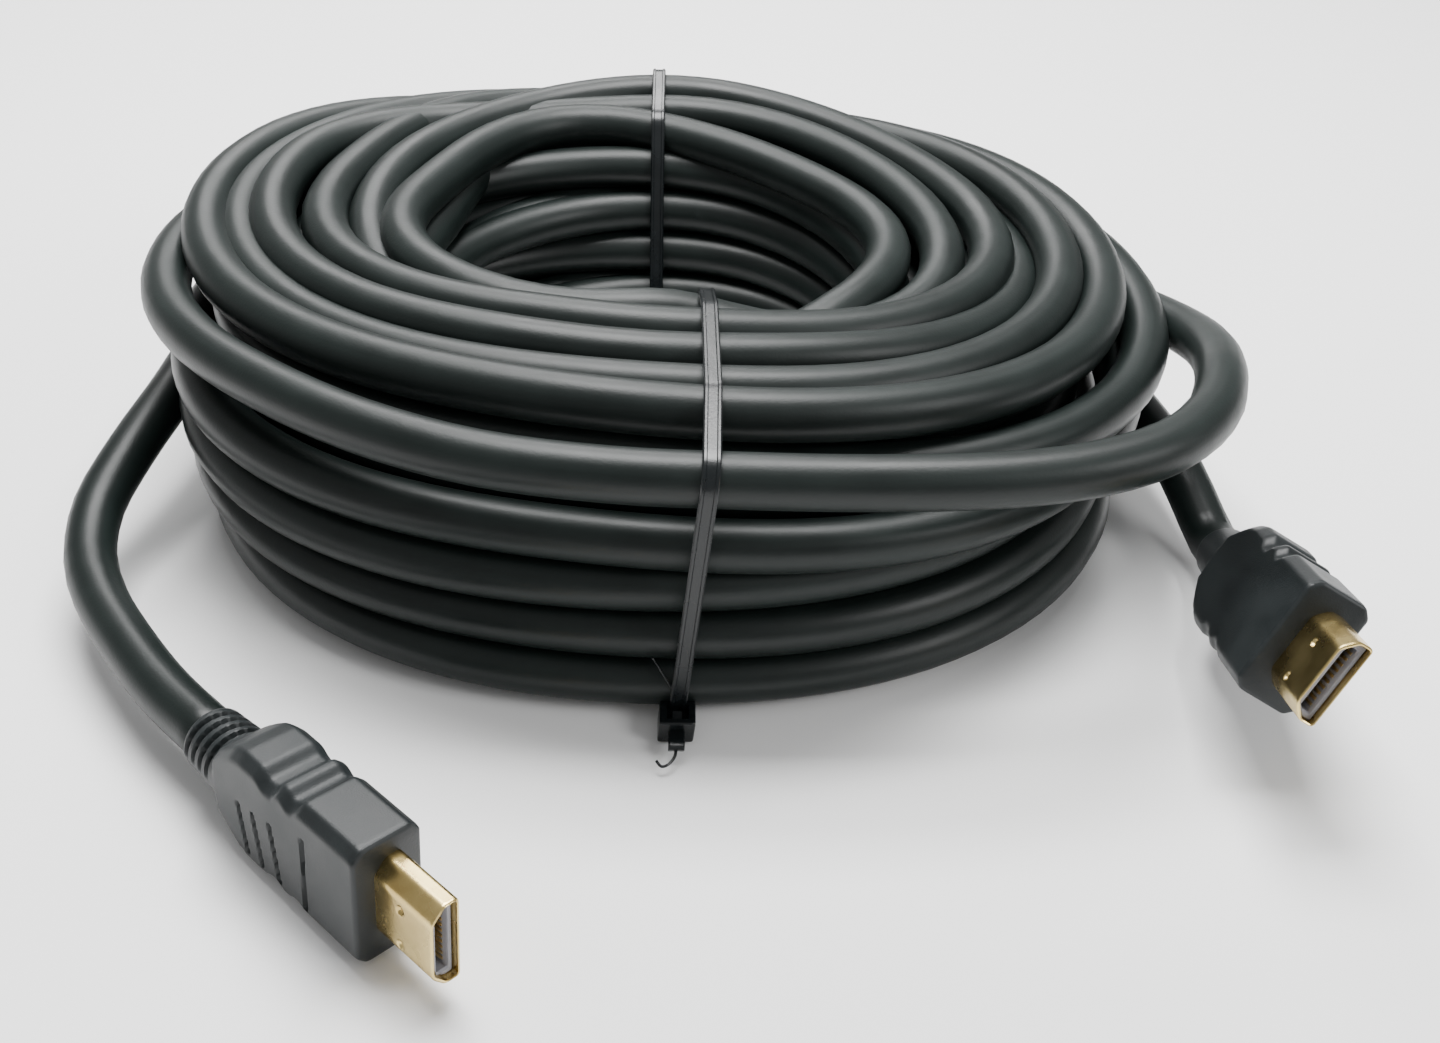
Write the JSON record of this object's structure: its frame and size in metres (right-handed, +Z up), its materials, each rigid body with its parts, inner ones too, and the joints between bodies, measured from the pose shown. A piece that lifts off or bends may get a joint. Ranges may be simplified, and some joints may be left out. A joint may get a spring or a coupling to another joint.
{
  "type": "hdmi cable",
  "caption": "Long black HDMI cable wound in a thick round coil, held by two nylon cable ties, with a gold-shelled type A plug on each loose end.",
  "frame": {"origin": "middle of the whole object's box, at floor level", "axes": "+Z up along the coil's axis, -Y towards the side where the left plug points"},
  "size_m": [0.2046, 0.2118, 0.0521],
  "materials": {
    "jacket": "satin",
    "mould": "satin",
    "shell": "polished",
    "insulator": "matt",
    "tie": "gloss"
  },
  "bodies": {
    "root": {"coil": "jacket", "outer_turn": "jacket", "left_tail": "jacket", "right_tail": "jacket", "plug_left_moulding": "mould", "plug_left_shell": "shell", "plug_left_insulator": "insulator", "plug_right_moulding": "mould", "plug_right_shell": "shell", "plug_right_insulator": "insulator", "cable_tie_front": "tie", "cable_tie_back": "tie"}
  },
  "joints": []
}
